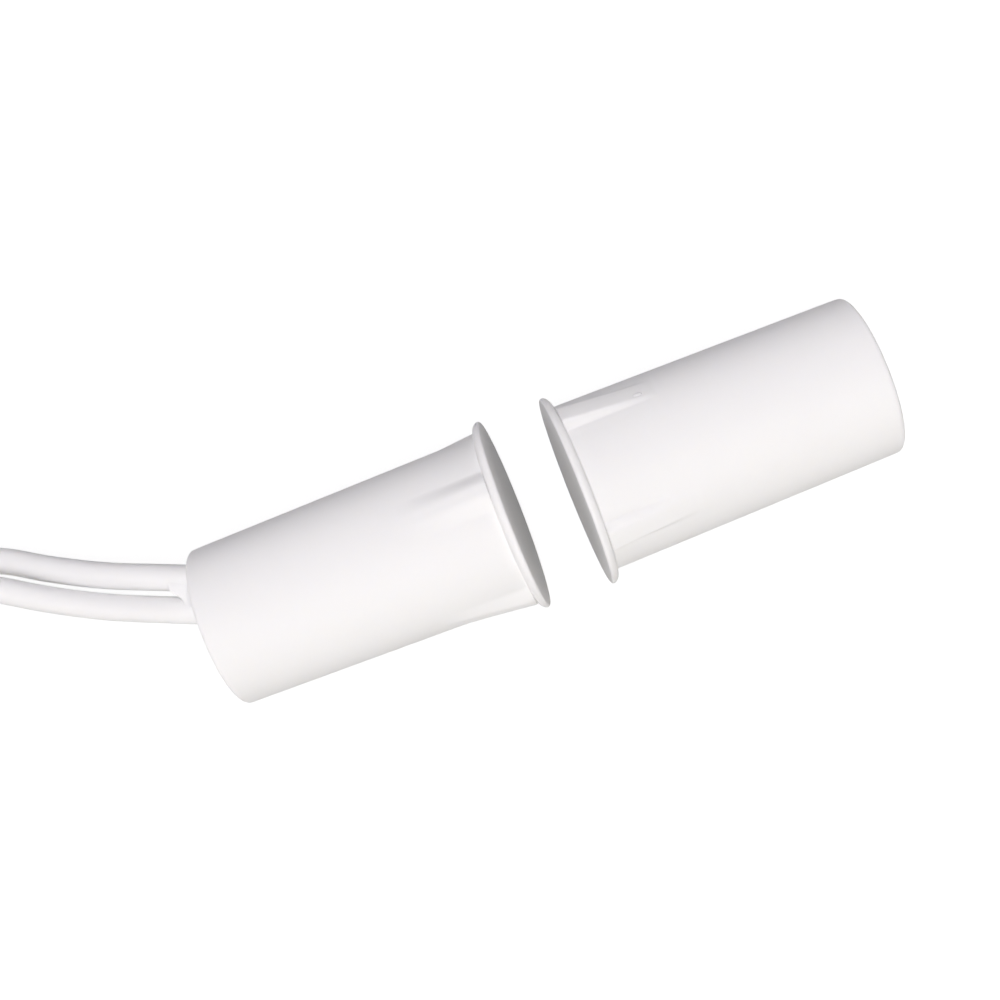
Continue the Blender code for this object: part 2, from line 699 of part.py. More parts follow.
def make_tails():
    """The leads' last stretch, straight out of the hank's far end, and their stripped ends."""
    start = HANK_NEAR_X - HANK_RUN - fold_reach()
    end = start - TAIL_LENGTH
    tip_start = end - STACK_CLEARANCE
    y = HANK_CENTRE_Y + OUTER_FOLD
    for i in range(2):
        z = i * LAYER_PITCH + LAYER_HEIGHT - LEAD_RADIUS
        tail = [(start, y, z), ((start + end) / 2, y, z), (end, y, z)]
        tube(f"lead_{i + 1}_tail", tail, LEAD_RADIUS, PARTS, LEAD_PLASTIC)
        tip = [(tip_start, y, z), (tip_start - TIP_LENGTH, y, z)]
        tube(f"lead_{i + 1}_tip", tip, CORE_RADIUS, PARTS, TINNED)


clear_scene()
PARTS = new_collection(PART_NAME)
CUTTERS = new_collection("cutters")

WHITE_PLASTIC = make_material("white_abs", (0.83, 0.83, 0.82), 0.38)
COMPOUND = make_material("white_compound", (0.8, 0.8, 0.78), 0.3)
LEAD_PLASTIC = make_material("white_pvc", (0.82, 0.82, 0.8), 0.42)
GLASS = make_material("green_glass", (0.75, 0.85, 0.78), 0.05, 0.0, 0.4)
REED_METAL = make_material("reed_alloy", (0.6, 0.58, 0.55), 0.3, 1.0)
SOLDER = make_material("solder", (0.62, 0.62, 0.63), 0.25, 1.0)
COPPER = make_material("copper", (0.72, 0.4, 0.25), 0.3, 1.0)
TINNED = make_material("tinned_copper", (0.68, 0.68, 0.68), 0.3, 1.0)
MAGNET_METAL = make_material("magnet_alloy", (0.35, 0.34, 0.33), 0.45, 1.0)
TIE_PLASTIC = make_material("white_nylon", (0.84, 0.84, 0.8), 0.45)

make_switch_half(half_frame("switch_half", SWITCH_MATRIX), SWITCH_MATRIX)
make_magnet_half(half_frame("magnet_half", MAGNET_MATRIX))
make_hank()
make_tails()
bpy.context.view_layer.update()
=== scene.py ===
"""Looks of the recessed magnetic contact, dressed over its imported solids.

Units are metres. A half is drawn in its own frame, whose origin and axis come from the record:
the flange face is the plane z = 0, the barrel runs down -Z, and Y is sideways on the table.
"""

import json
import math

import bmesh
import bpy
import numpy as np
from mathutils import Matrix, Vector


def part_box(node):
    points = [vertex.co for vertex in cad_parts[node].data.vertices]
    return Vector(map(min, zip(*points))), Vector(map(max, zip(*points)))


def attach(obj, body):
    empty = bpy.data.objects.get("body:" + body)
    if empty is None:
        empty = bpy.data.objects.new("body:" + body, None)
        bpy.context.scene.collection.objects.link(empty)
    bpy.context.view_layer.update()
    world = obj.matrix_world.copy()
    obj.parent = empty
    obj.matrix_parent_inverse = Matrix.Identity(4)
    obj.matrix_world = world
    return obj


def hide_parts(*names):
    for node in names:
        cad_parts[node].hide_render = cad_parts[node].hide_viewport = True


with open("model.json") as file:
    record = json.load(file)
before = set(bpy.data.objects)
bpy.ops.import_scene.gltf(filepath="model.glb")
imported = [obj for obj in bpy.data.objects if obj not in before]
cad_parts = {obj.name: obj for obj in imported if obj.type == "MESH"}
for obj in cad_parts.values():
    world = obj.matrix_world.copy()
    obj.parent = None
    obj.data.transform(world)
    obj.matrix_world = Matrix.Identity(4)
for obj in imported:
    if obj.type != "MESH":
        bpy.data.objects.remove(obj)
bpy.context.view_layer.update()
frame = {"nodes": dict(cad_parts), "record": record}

MM = 0.001
WELD_DISTANCE = 1e-7

# Shells
BODY_RADIUS = 4.55 * MM
REAR_RADIUS = 4.335 * MM
FLANGE_RADIUS = 5.19 * MM
FLANGE_THICKNESS = 0.5 * MM
FLANGE_ROUNDING = 0.12 * MM
FLANGE_CORNER = 0.08 * MM
REAR_ROUNDING = 0.3 * MM
BORE_ROUNDING = 0.06 * MM
FRONT_WALL = 1.1 * MM
SHELL_COLUMNS = 540
MERGE_DISTANCE = 4e-7
SWITCH_LENGTH = 16.9 * MM
SWITCH_BORE = 3.7 * MM
MAGNET_LENGTH = 16.75 * MM
MAGNET_BORE = 3.33 * MM
MAGNET_SHIFT = (0.0, -0.09 * MM, 0.0)
MAGNET_ROD_LENGTH = 12.7 * MM

# Ribs, and the rows of faces along them
RIB_COUNT = 4
RIB_WIDTH = 1.4 * MM
SWITCH_RIB_FLANK = 1.0 * MM
MAGNET_RIB_FLANK = 0.4 * MM
RIB_LENGTH = 5.5 * MM
RIB_HEIGHT = 0.47 * MM
RIB_ROW = 0.12 * MM
RIB_RUN_OUT = 0.2 * MM
SWITCH_RIB_TURN = math.radians(159.5)
MAGNET_RIB_TURN = math.radians(52.5)

# Ejector mark on the magnet half
NUB_TURN = math.radians(48.4)
NUB_DEPTH = 4.55 * MM
NUB_RISE = 0.03 * MM
NUB_RADII = (0.14 * MM, 0.15 * MM, 0.27 * MM)

# Fills
FILL_COLUMNS = 240
FILL_RECESS = 0.4 * MM
FILL_CLEARANCE = 0.06 * MM
FILL_CLIMB = 0.3 * MM
FILL_COVER = 0.02 * MM
FILL_DEPTH = 0.6 * MM
CREST_CENTRE = (0.0, 1.867 * MM, -16.2 * MM)
CREST_RADII = (1.15 * MM, 1.693 * MM, 1.7 * MM)
COLLAR_START = 16.2 * MM
COLLAR_LENGTH = 2.3 * MM
COLLAR_RADIUS = 0.95 * MM
COLLAR_END_RADIUS = 0.6 * MM
COLLAR_HOLLOW = 1.5
COLLAR_RINGS = 9
RING_SIDES = 48
POLE_RADIUS = 1e-7

# Web between the leads: its outline across and down the half, and its thickness
WEB_OUTLINE = [
    (0.6 * MM, 16.3 * MM),
    (3.3 * MM, 16.3 * MM),
    (3.55 * MM, 18.55 * MM),
    (2.75 * MM, 18.6 * MM),
    (2.1 * MM, 18.1 * MM),
    (1.3 * MM, 18.1 * MM),
]
WEB_THICKNESS = 1.3 * MM

# Softening of the fill's face: the size of its voxels in millimetres, and the rounds of smoothing
VOXEL_SIZE = 0.1
SOFTENING = 8

# Leads
LEAD_RADIUS = 0.725 * MM
LEAD_DIAMETER = 2 * LEAD_RADIUS
LEAD_SPACING = 0.4 * MM
LEAD_SIDES = 24
OUTER_START = (2.169 * MM, 15.3 * MM)
OUTER_EXIT = (2.783 * MM, 16.9 * MM)
INNER_START = (0.496 * MM, 15.3 * MM)
INNER_EXIT = (0.95 * MM, 16.9 * MM)
STRAND_RADIUS = 0.127 * MM
STRAND_LAY = 9.0 * MM
STRANDS_AROUND = 6
STRAND_STEPS = 40
STRAND_SIDES = 12
TIP_LENGTH = 5.0 * MM
TIP_OVERLAP = 0.2 * MM

# Route of each lead over the table: the distance along X and along Y from where the lead leaves
# the shell, in millimetres, and the height as a share of the way up from the hank to there
LEAD_1_ROUTE = [
    (-1.679, 0.704, 0.9538),
    (-4.957, 2.068, 0.7406),
    (-7.898, 3.556, 0.4776),
    (-10.448, 4.987, 0.2699),
    (-13.472, 5.872, 0.0761),
]
LEAD_2_ROUTE = [
    (-2.257, 0.927, 0.7761),
    (-5.473, 2.339, 0.1552),
    (-8.591, 4.024, -0.3676),
    (-10.541, 5.238, -0.5310),
    (-13.793, 7.018, -0.2859),
]

# Hank
HANK_RUN = 25.0 * MM
HANK_NEAR_X = (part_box("hank_tie")[0][0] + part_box("hank_tie")[1][0] + HANK_RUN) / 2
HANK_MIDDLE_X = HANK_NEAR_X - HANK_RUN / 2
HANK_CENTRE_Y = 2.9 * MM
INNER_FOLD = 3.05 * LEAD_DIAMETER
OUTER_FOLD = INNER_FOLD + LEAD_DIAMETER
HANK_HALF_WIDTH = OUTER_FOLD + LEAD_RADIUS
WAIST_RUN = 7.0 * MM
WAIST_HALF_WIDTH = 2.25 * LEAD_DIAMETER
LAYER_COUNT = 4
LAYER_PITCH = 3.0 * MM
TAIL_END_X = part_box("lead_1_tail")[0][0]

# Tie
TIE_THICKNESS = 0.5 * MM
TIE_ROOM = 0.1 * MM
TIE_CORNER = 0.2 * MM
TIE_WIDTH = 2.4 * MM
TIE_INNER_TOP = 6.0 * MM
TIE_HEAD = (3.6 * MM, 3.2 * MM, 2.2 * MM)
TIE_HEAD_WALL = 0.7 * MM
TIE_HEAD_DIP = 0.5 * MM
TIE_END_LENGTH = 1.5 * MM
TIE_BEVEL = 0.16 * MM

# Camera, from a fit to the photograph
CAMERA_PLACE = (1.432 * MM, -0.218 * MM, 105.0 * MM)
CAMERA_TURN = (0.0, math.radians(1.836), math.radians(-21.379))
CAMERA_FOCAL = 68.54
SENSOR_WIDTH = 36.0
CLIP_NEAR = 1.0 * MM
CLIP_FAR = 10.0

# Floor, as the bounce that lights the part and as the camera sees it
FLOOR_SIZE = 2.0
FLOOR_BOUNCE = 0.12
FLOOR_SHADE = 0.25
FLOOR_GLOW = 0.85

# Sky: its level by the lean in degrees from straight up towards +Y, in a narrow band across X,
# with weaker light from both ends of X
SKY_FRONT = (1.0, 0.975, 0.94)
SKY_BACK = (0.985, 0.955, 1.03)
SKY_PEAK = 3.0
SKY_BAND = 3.45
SKY_SIDES = 1.8
SKY_SHIFT = 0.07
SKY_NARROWING = 24.0
SKY_LEVELS = [
    (-90, 2.85), (-67, 0.6), (-50, 0.14), (-37, 0.16), (-22, 2.12), (-7, 2.36), (7, 1.2),
    (22, 0.45), (37, 0.45), (52, 1.2), (67, 1.08), (82, 0.02),
]


# Node trees


def grey(level):
    return (level, level, level, 1.0)


class Value:
    """A node's output, on which Python's operators add Math nodes."""

    def __init__(self, tree, node, name=None):
        self.tree = tree
        self.node = node
        outputs = [socket for socket in node.outputs if socket.enabled]
        named = [socket for socket in outputs if socket.name == name]
        self.socket = (named or outputs)[0]

    def output(self, name):
        return Value(self.tree, self.node, name)

    def math(self, operation, *values):
        return self.tree.add("ShaderNodeMath", {"operation": operation}, values)

    def __add__(self, other):
        return self.math("ADD", self, other)

    def __radd__(self, other):
        return self.math("ADD", other, self)

    def __sub__(self, other):
        return self.math("SUBTRACT", self, other)

    def __rsub__(self, other):
        return self.math("SUBTRACT", other, self)

    def __mul__(self, other):
        return self.math("MULTIPLY", self, other)

    def __rmul__(self, other):
        return self.math("MULTIPLY", other, self)

    def __truediv__(self, other):
        return self.math("DIVIDE", self, other)

    def __rtruediv__(self, other):
        return self.math("DIVIDE", other, self)

    def __mod__(self, other):
        return self.math("FLOORED_MODULO", self, other)

    def __rmod__(self, other):
        return self.math("FLOORED_MODULO", other, self)

    def __pow__(self, other):
        return self.math("POWER", self, other)

    def __rpow__(self, other):
        return self.math("POWER", other, self)

    def __lt__(self, other):
        return self.math("LESS_THAN", self, other)

    def __gt__(self, other):
        return self.math("GREATER_THAN", self, other)


class Tree:
    """A node tree that is being built, of a material or of geometry."""

    def __init__(self, tree):
        self.tree = tree

    def add(self, kind, settings=None, inputs=()):
        """Adds a node: its settings come first, then the values or links of its sockets."""
        node = self.tree.nodes.new(kind)
        for name, value in (settings or {}).items():
            if name == "stops":
                self.set_stops(node.color_ramp, value)
            else:
                setattr(node, name, value)
        sockets = [socket for socket in node.inputs if socket.enabled]
        if isinstance(inputs, dict):
            for name, value in inputs.items():
                self.feed([socket for socket in sockets if socket.name == name][0], value)
        else:
            for socket, value in zip(sockets, inputs):
                self.feed(socket, value)
        return Value(self, node)

    def feed(self, socket, value):
        if isinstance(value, Value):
            self.tree.links.new(value.socket, socket)
        else:
            socket.default_value = value

    def set_stops(self, ramp, stops):
        while len(ramp.elements) < len(stops):
            ramp.elements.new(1.0)
        for element, (position, level) in zip(ramp.elements, stops):
            element.position = position
            element.color = grey(level)


class GeometryTree(Tree):
    """A geometry tree with named inputs for its sizes, which ends in real, finished faces."""

    def __init__(self, name, sizes):
        super().__init__(bpy.data.node_groups.new(name, "GeometryNodeTree"))
        interface = self.tree.interface
        kinds = {int: "NodeSocketInt", float: "NodeSocketFloat"}
        interface.new_socket("Geometry", in_out="INPUT", socket_type="NodeSocketGeometry")
        interface.new_socket("Geometry", in_out="OUTPUT", socket_type="NodeSocketGeometry")
        for size, value in sizes.items():
            socket = interface.new_socket(size, in_out="INPUT", socket_type=kinds[type(value)])
            socket.default_value = value
        interface.new_socket("Material", in_out="INPUT", socket_type="NodeSocketMaterial")
        self.inputs = self.tree.nodes.new("NodeGroupInput")

    def size(self, name):
        return Value(self, self.inputs, name)

    def vector(self, x, y, z):
        return self.add("ShaderNodeCombineXYZ", None, [x, y, z])

    def finish(self, geometry):
        real = self.add("GeometryNodeRealizeInstances", None, [geometry])
        smooth = self.add("GeometryNodeSetShadeSmooth", None, [real])
        painted = self.add(
            "GeometryNodeSetMaterial", None, {"Geometry": smooth, "Material": self.size("Material")}
        )
        end = self.tree.nodes.new("NodeGroupOutput")
        self.feed(end.inputs[0], painted)
        return self.tree


def placed(name, data):
    """A new object in the scene, at the origin."""
    piece = bpy.data.objects.new(name, data)
    bpy.context.scene.collection.objects.link(piece)
    return piece


def settled(host):
    """The plain mesh that an object's modifiers make, which takes the object's place."""
    bpy.context.view_layer.update()
    evaluated = host.evaluated_get(bpy.context.evaluated_depsgraph_get())
    mesh = bpy.data.meshes.new_from_object(evaluated)
    bpy.data.objects.remove(host, do_unlink=True)
    return mesh


def grown(name, data, tree, material, sizes=None):
    """The plain mesh that a geometry tree makes of some data, as a new object at the origin."""
    host = placed(name, data)
    modifier = host.modifiers.new(tree.name, "NODES")
    modifier.node_group = tree
    values = dict(sizes or {}, Material=material)
    for socket in tree.interface.items_tree:
        if socket.in_out == "INPUT" and socket.name in values:
            modifier[socket.identifier] = values[socket.name]
    mesh = settled(host)
    mesh.name = name
    return placed(name, mesh)


def polyline(name, points):
    """A mesh of points joined in a row, for a geometry tree to work on."""
    mesh = bpy.data.meshes.new(name)
    mesh.from_pydata(points, [(i, i + 1) for i in range(len(points) - 1)], [])
    return mesh


def face_outward(mesh):
    """Turns a closed mesh right side out."""
    shape = bmesh.new()
    shape.from_mesh(mesh)
    bmesh.ops.remove_doubles(shape, verts=shape.verts, dist=WELD_DISTANCE)
    if shape.calc_volume(signed=True) < 0:
        bmesh.ops.reverse_faces(shape, faces=shape.faces)
    shape.to_mesh(mesh)
    shape.free()


# Materials


def start_material(name):
    material = bpy.data.materials.new(name)
    material.use_nodes = True
    tree = Tree(material.node_tree)
    return material, tree, material.node_tree.nodes["Principled BSDF"]


def noise(tree, scale, detail=3.0, roughness=0.5):
    """Fine noise, with its scale given in bumps over a millimetre."""
    place = tree.add("ShaderNodeTexCoord").output("Object")
    inputs = {"Vector": place, "Scale": scale / MM, "Detail": detail, "Roughness": roughness}
    return tree.add("ShaderNodeTexNoise", None, inputs)


def mixed(tree, share, first, second):
    """A colour between two others."""
    settings = {"data_type": "RGBA"}
    colours = {"Factor": share, "A": (*first, 1.0), "B": (*second, 1.0)}
    return tree.add("ShaderNodeMix", settings, colours)


def finish_shader(tree, shader, values):
    for name, value in values.items():
        tree.feed(shader.inputs[name], value)


def bump(tree, height, distance):
    values = {"Height": height, "Distance": distance, "Strength": 1.0}
    return tree.add("ShaderNodeBump", None, values)


def moulded_plastic(name, light, dark, roughness, relief):
    """Moulded plastic: cloudy tint, a faint flow in the gloss and the mould's fine grain."""
    material, tree, shader = start_material(name)
    cloud = noise(tree, 0.35)
    grain = noise(tree, 9.0, 2.0)
    finish_shader(tree, shader, {
        "Base Color": mixed(tree, cloud, dark, light),
        "Roughness": roughness + (cloud - 0.5) * 0.04,
        "Normal": bump(tree, grain, relief),
        "Subsurface Weight": 0.25,
        "Subsurface Scale": 0.5 * MM,
        "Subsurface Radius": (1.0, 0.95, 0.85),
        "IOR": 1.5,
        "Specular IOR Level": 0.06,
    })
    return material


def drawn_metal(name, light, dark, roughness, relief):
    """Bare metal: a cloudy tint, and a fine grain in both its gloss and its surface."""
    material, tree, shader = start_material(name)
    cloud = noise(tree, 1.6)
    grain = noise(tree, 12.0, 2.0)
    finish_shader(tree, shader, {
        "Base Color": mixed(tree, cloud, dark, light),
        "Roughness": roughness + (grain - 0.5) * 0.2,
        "Normal": bump(tree, grain, relief),
        "Metallic": 1.0,
    })
    return material


def clear_glass(name):
    material, tree, shader = start_material(name)
    cloud = noise(tree, 0.8)
    finish_shader(tree, shader, {
        "Base Color": mixed(tree, cloud, (0.7, 0.82, 0.74), (0.78, 0.87, 0.8)),
        "Roughness": 0.04 + cloud * 0.03,
        "Transmission Weight": 1.0,
        "IOR": 1.5,
    })
    return material


WHITE_ABS = moulded_plastic("white_abs", (0.9, 0.9, 0.89), (0.89, 0.89, 0.88), 0.6, 0.0001 * MM)
WHITE_COMPOUND = moulded_plastic(
    "white_compound", (0.89, 0.89, 0.885), (0.87, 0.87, 0.865), 0.5, 0.001 * MM
)
WHITE_PVC = moulded_plastic("white_pvc", (0.89, 0.89, 0.885), (0.87, 0.87, 0.865), 0.5, 0.001 * MM)
WHITE_NYLON = moulded_plastic(
    "white_nylon", (0.86, 0.86, 0.82), (0.82, 0.82, 0.78), 0.42, 0.003 * MM
)
GREEN_GLASS = clear_glass("green_glass")
REED_ALLOY = drawn_metal("reed_alloy", (0.64, 0.62, 0.58), (0.56, 0.54, 0.5), 0.3, 0.002 * MM)
SOLDER = drawn_metal("solder", (0.68, 0.68, 0.69), (0.58, 0.58, 0.6), 0.28, 0.004 * MM)
COPPER = drawn_metal("copper", (0.78, 0.45, 0.3), (0.66, 0.35, 0.22), 0.3, 0.002 * MM)
TINNED = drawn_metal("tinned_copper", (0.74, 0.74, 0.74), (0.62, 0.61, 0.6), 0.3, 0.003 * MM)
MAGNET = drawn_metal("magnet_alloy", (0.4, 0.39, 0.37), (0.3, 0.29, 0.28), 0.45, 0.004 * MM)

NODE_LOOKS = {
    "potting_compound": WHITE_COMPOUND,
    "reed_glass": GREEN_GLASS,
    "reed_blade_front": REED_ALLOY,
    "reed_blade_rear": REED_ALLOY,
    "solder_joint_front": SOLDER,
    "solder_joint_rear": SOLDER,
    "lead_1_core": COPPER,
    "lead_2_core": COPPER,
    "magnet_rod": MAGNET,
}


def paint_nodes():
    """Gives the solids that stay in view or inside their finishes."""
    for name, material in NODE_LOOKS.items():
        for material_slot in frame["nodes"][name].material_slots:
            material_slot.material = material


# Places and sections of the halves


def half_frame(mount_name):
    """The frame of a half: its face's centre, its axis as +Z, and +Y level with the table."""
    mounts = {mount["name"]: mount for mount in frame["record"]["mounts"]}
    axis = Vector(mounts[mount_name]["axis"]).normalized()
    side = Vector((0.0, 0.0, 1.0)).cross(axis).normalized()
    if side.y < 0:
        side = -side
    turn = Matrix((side.cross(axis), side, axis)).transposed().to_4x4()
    return Matrix.Translation(mounts[mount_name]["pos_m"]) @ turn


SWITCH = half_frame("switch_face")
MAGNET_HALF = Matrix.Translation(MAGNET_SHIFT) @ half_frame("magnet_face")


def arc(centre, radius, start, end, steps):
    """Points (radius, z) of an arc in a section, with its angles in degrees."""
    angles = np.radians(np.linspace(start, end, steps + 1))
    return [(centre[0] + radius * math.cos(a), centre[1] + radius * math.sin(a)) for a in angles]


def barrel_radius(depth, length):
    """The tapered barrel's radius at a depth behind the face."""
    share = (depth - FLANGE_THICKNESS) / (length - FLANGE_THICKNESS)
    return BODY_RADIUS + share * (REAR_RADIUS - BODY_RADIUS)


# Shells


def shell_section(length, bore):
    """The shell's section as (radius, z) points, and how many of them lie outside."""
    rim = FLANGE_RADIUS - FLANGE_ROUNDING
    lip = REAR_RADIUS - REAR_ROUNDING
    foot = (BODY_RADIUS + FLANGE_CORNER, -FLANGE_THICKNESS - FLANGE_CORNER)
    face = [(radius, 0.0) for radius in np.linspace(0.0, rim, 9)[:-1]]
    front = arc((rim, -FLANGE_ROUNDING), FLANGE_ROUNDING, 90, 0, 8)
    back_depth = FLANGE_THICKNESS - FLANGE_ROUNDING
    overhang = FLANGE_RADIUS - foot[0]
    behind = [
        (foot[0] + overhang * math.cos(a), -FLANGE_ROUNDING - back_depth * math.sin(a))
        for a in np.linspace(0.0, math.pi / 2, 15)[1:-1]
    ]
    corner = arc(foot, FLANGE_CORNER, 90, 180, 6)
    ribbed = np.arange(RIB_ROW - foot[1], RIB_LENGTH + RIB_RUN_OUT, RIB_ROW)
    plain = np.linspace(RIB_LENGTH + 2 * RIB_RUN_OUT, length - 2 * REAR_ROUNDING, 9)
    barrel = [(barrel_radius(depth, length), -depth) for depth in (*ribbed, *plain)]
    rear = arc((lip, REAR_ROUNDING - length), REAR_ROUNDING, 0, -90, 6)
    edge = (bore + BORE_ROUNDING, BORE_ROUNDING - length)
    inner = arc(edge, BORE_ROUNDING, -90, -180, 4)
    outside = [*face, *front, *behind, *corner, *barrel, *rear]
    inside = [(bore, -length / 2), (bore, -FRONT_WALL), (0.0, -FRONT_WALL)]
    return [*outside, *inner, *inside], len(outside)


def turned_shell_tree():
    """Turns a section about Z, and raises wedge ribs on the rows that lie outside."""
    tree = GeometryTree("turned_shell", {
        "Columns": SHELL_COLUMNS,
        "Rows": 2,
        "Outer Rows": 0,
        "Rib Count": RIB_COUNT,
        "Rib Turn": 0.0,
        "Rib Width": RIB_WIDTH,
        "Rib Flank": SWITCH_RIB_FLANK,
        "Rib Start": FLANGE_THICKNESS,
        "Rib End": RIB_LENGTH,
        "Top Radius": BODY_RADIUS + RIB_HEIGHT,
        "End Radius": BODY_RADIUS,
        "Merge": MERGE_DISTANCE,
    })
    columns = tree.size("Columns")
    rows = tree.size("Rows")
    grid = tree.add("GeometryNodeMeshGrid", None, {"Vertices X": columns + 1, "Vertices Y": rows})
    index = tree.add("GeometryNodeInputIndex")
    column = (index / rows).math("FLOOR", index / rows)
    row = index - column * rows
    section = tree.add("GeometryNodeSampleIndex", {"data_type": "FLOAT_VECTOR"}, {
        "Geometry": tree.size("Geometry"),
        "Value": tree.add("GeometryNodeInputPosition"),
        "Index": row,
    })
    split = tree.add("ShaderNodeSeparateXYZ", None, [section])
    radius = split.output("X")
    z = split.output("Z")
    angle = column * (2 * math.pi) / columns

    pitch = 2 * math.pi / tree.size("Rib Count")
    nearest = (angle - tree.size("Rib Turn") + pitch / 2) % pitch - pitch / 2
    across = radius * nearest.math("SINE", nearest)
    across = across.math("ABSOLUTE", across)
    flank = tree.size("Rib Flank")
    ramp = {"interpolation_type": "SMOOTHSTEP"}
    side = tree.add("ShaderNodeMapRange", ramp, {
        "Value": across,
        "From Min": tree.size("Rib Width") / 2 - flank / 2,
        "From Max": tree.size("Rib Width") / 2 + flank / 2,
        "To Min": 1.0,
        "To Max": 0.0,
    })
    start = tree.size("Rib Start")
    top = tree.size("Top Radius")
    down = (0.0 - z - start) / (tree.size("Rib End") - start)
    crown = top + down * (tree.size("End Radius") - top)
    lift = crown.math("MAXIMUM", crown - radius, 0.0)
    ribbed = (row < tree.size("Outer Rows")) * (z < 0.0 - start)
    reach = radius + lift * side * ribbed
    place = tree.vector(
        reach * angle.math("COSINE", angle), reach * angle.math("SINE", angle), z
    )
    moved = tree.add("GeometryNodeSetPosition", None, {"Geometry": grid, "Position": place})
    merged = tree.add("GeometryNodeMergeByDistance", None, {
        "Geometry": moved,
        "Distance": tree.size("Merge"),
    })
    return tree.finish(merged)


def add_nub(mesh, radius):
    """A small ejector mark that stands up on the barrel."""
    shape = bmesh.new()
    shape.from_mesh(mesh)
    place = Matrix.Translation((radius + NUB_RISE, 0.0, -NUB_DEPTH))
    place = Matrix.Rotation(NUB_TURN, 4, "Z") @ place @ Matrix.Diagonal((*NUB_RADII, 1.0))
    made = bmesh.ops.create_uvsphere(shape, u_segments=24, v_segments=16, radius=1.0, matrix=place)
    for vert in made["verts"]:
        for face in vert.link_faces:
            face.smooth = True
    shape.to_mesh(mesh)
    shape.free()


def make_shell(name, node, half, length, bore, rib_turn, rib_flank, with_nub=False):
    """The flanged, ribbed shell of one half, open at its rear."""
    section, outer_rows = shell_section(length, bore)
    points = [(radius, 0.0, z) for radius, z in section]
    piece = grown(name, polyline(name, points), SHELL_TREE, WHITE_ABS, {
        "Rows": len(points),
        "Outer Rows": outer_rows,
        "Rib Count": RIB_COUNT,
        "Rib Turn": rib_turn,
        "Rib Flank": rib_flank,
        "End Radius": barrel_radius(RIB_LENGTH, length),
    })
    if with_nub:
        add_nub(piece.data, barrel_radius(NUB_DEPTH, length))
    piece.data.transform(half)
    face_outward(piece.data)
    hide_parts(node)
    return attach(piece, "root")


# Leads


def smooth_path(points, spacing):
    """Points a steady distance apart on the smooth curve through some chosen ones."""
    knots = np.array([tuple(p) for p in points])
    steps = np.linalg.norm(np.diff(knots, axis=0), axis=1)
    at = np.concatenate([[0.0], np.cumsum(steps)])
    slopes = np.gradient(knots, at, axis=0)
    wanted = np.linspace(0.0, at[-1], max(2, round(at[-1] / spacing)) + 1)
    path = []
    for s in wanted:
        i = min(int(np.searchsorted(at, s, side="right")) - 1, len(steps) - 1)
        h = steps[i]
        t = (s - at[i]) / h
        start = (1 + 2 * t) * (1 - t) ** 2 * knots[i] + t * (1 - t) ** 2 * h * slopes[i]
        end = t * t * (3 - 2 * t) * knots[i + 1] + t * t * (t - 1) * h * slopes[i + 1]
        path.append(tuple(start + end))
    return path


def eased(t):
    """A share from 0 to 1 that starts and ends softly."""
    t = min(max(t, 0.0), 1.0)
    return t * t * (3 - 2 * t)


def waist_share(x):
    """0 at the tie, where the runs are drawn together, and 1 where the folds start."""
    beyond = abs(x - HANK_MIDDLE_X) - WAIST_RUN / 2
    return eased(beyond / ((HANK_RUN - WAIST_RUN) / 2))


def lane_offset(x, lane):
    """How far a strand lies from the hank's middle: lane 0 is outside, lane 1 is inside."""
    step = 0.01 * MM
    spread = HANK_HALF_WIDTH - WAIST_HALF_WIDTH
    half_width = WAIST_HALF_WIDTH + spread * waist_share(x)
    slope = spread * (waist_share(x + step) - waist_share(x - step)) / (2 * step)
    return half_width - (lane + 0.5) * LEAD_DIAMETER * math.hypot(1.0, slope)


def layer_height(layer):
    """A layer's height over the table in the folds."""
    return (layer // 2) * LAYER_PITCH + (layer % 2) * LEAD_DIAMETER + LEAD_RADIUS


def waist_height(layer):
    """A layer's height where the tie squeezes all of them between its strap and its head."""
    low = TIE_THICKNESS + TIE_ROOM + LEAD_RADIUS
    high = TIE_INNER_TOP - TIE_ROOM - LEAD_RADIUS
    return low + (high - low) * layer / (LAYER_COUNT - 1)


def run_points(side, lane, layer, start_x, end_x):
    """A straight run of the hank on one side, drawn in at the waist, where its layers nest."""
    count = max(2, round(abs(end_x - start_x) / LEAD_SPACING))
    shift = LEAD_DIAMETER / 4 * (1 if layer % 2 == 0 else -1)
    points = []
    for x in np.linspace(start_x, end_x, count + 1):
        share = waist_share(x)
        squeeze = 1.0 - share
        nested = (shift - side * LEAD_DIAMETER / 4) * squeeze
        y = HANK_CENTRE_Y + side * lane_offset(x, lane) + nested
        z = layer_height(layer) + (waist_height(layer) - layer_height(layer)) * squeeze
        points.append((x, y, z))
    return points


def fold_points(centre_x, from_side, radii, heights, span=(0.0, 1.0)):
    """A fold round a centre, whose radius or height changes over a span of the turn."""
    outward = 1 if centre_x == HANK_NEAR_X else -1
    count = round(math.pi * max(radii) / LEAD_SPACING)
    points = []
    for t in np.linspace(0.0, 1.0, count + 1)[1:-1]:
        share = eased((t - span[0]) / (span[1] - span[0]))
        radius = radii[0] + share * (radii[1] - radii[0])
        z = heights[0] + share * (heights[1] - heights[0])
        x = centre_x + outward * radius * math.sin(math.pi * t)
        y = HANK_CENTRE_Y + from_side * radius * math.cos(math.pi * t)
        points.append((x, y, z))
    return points


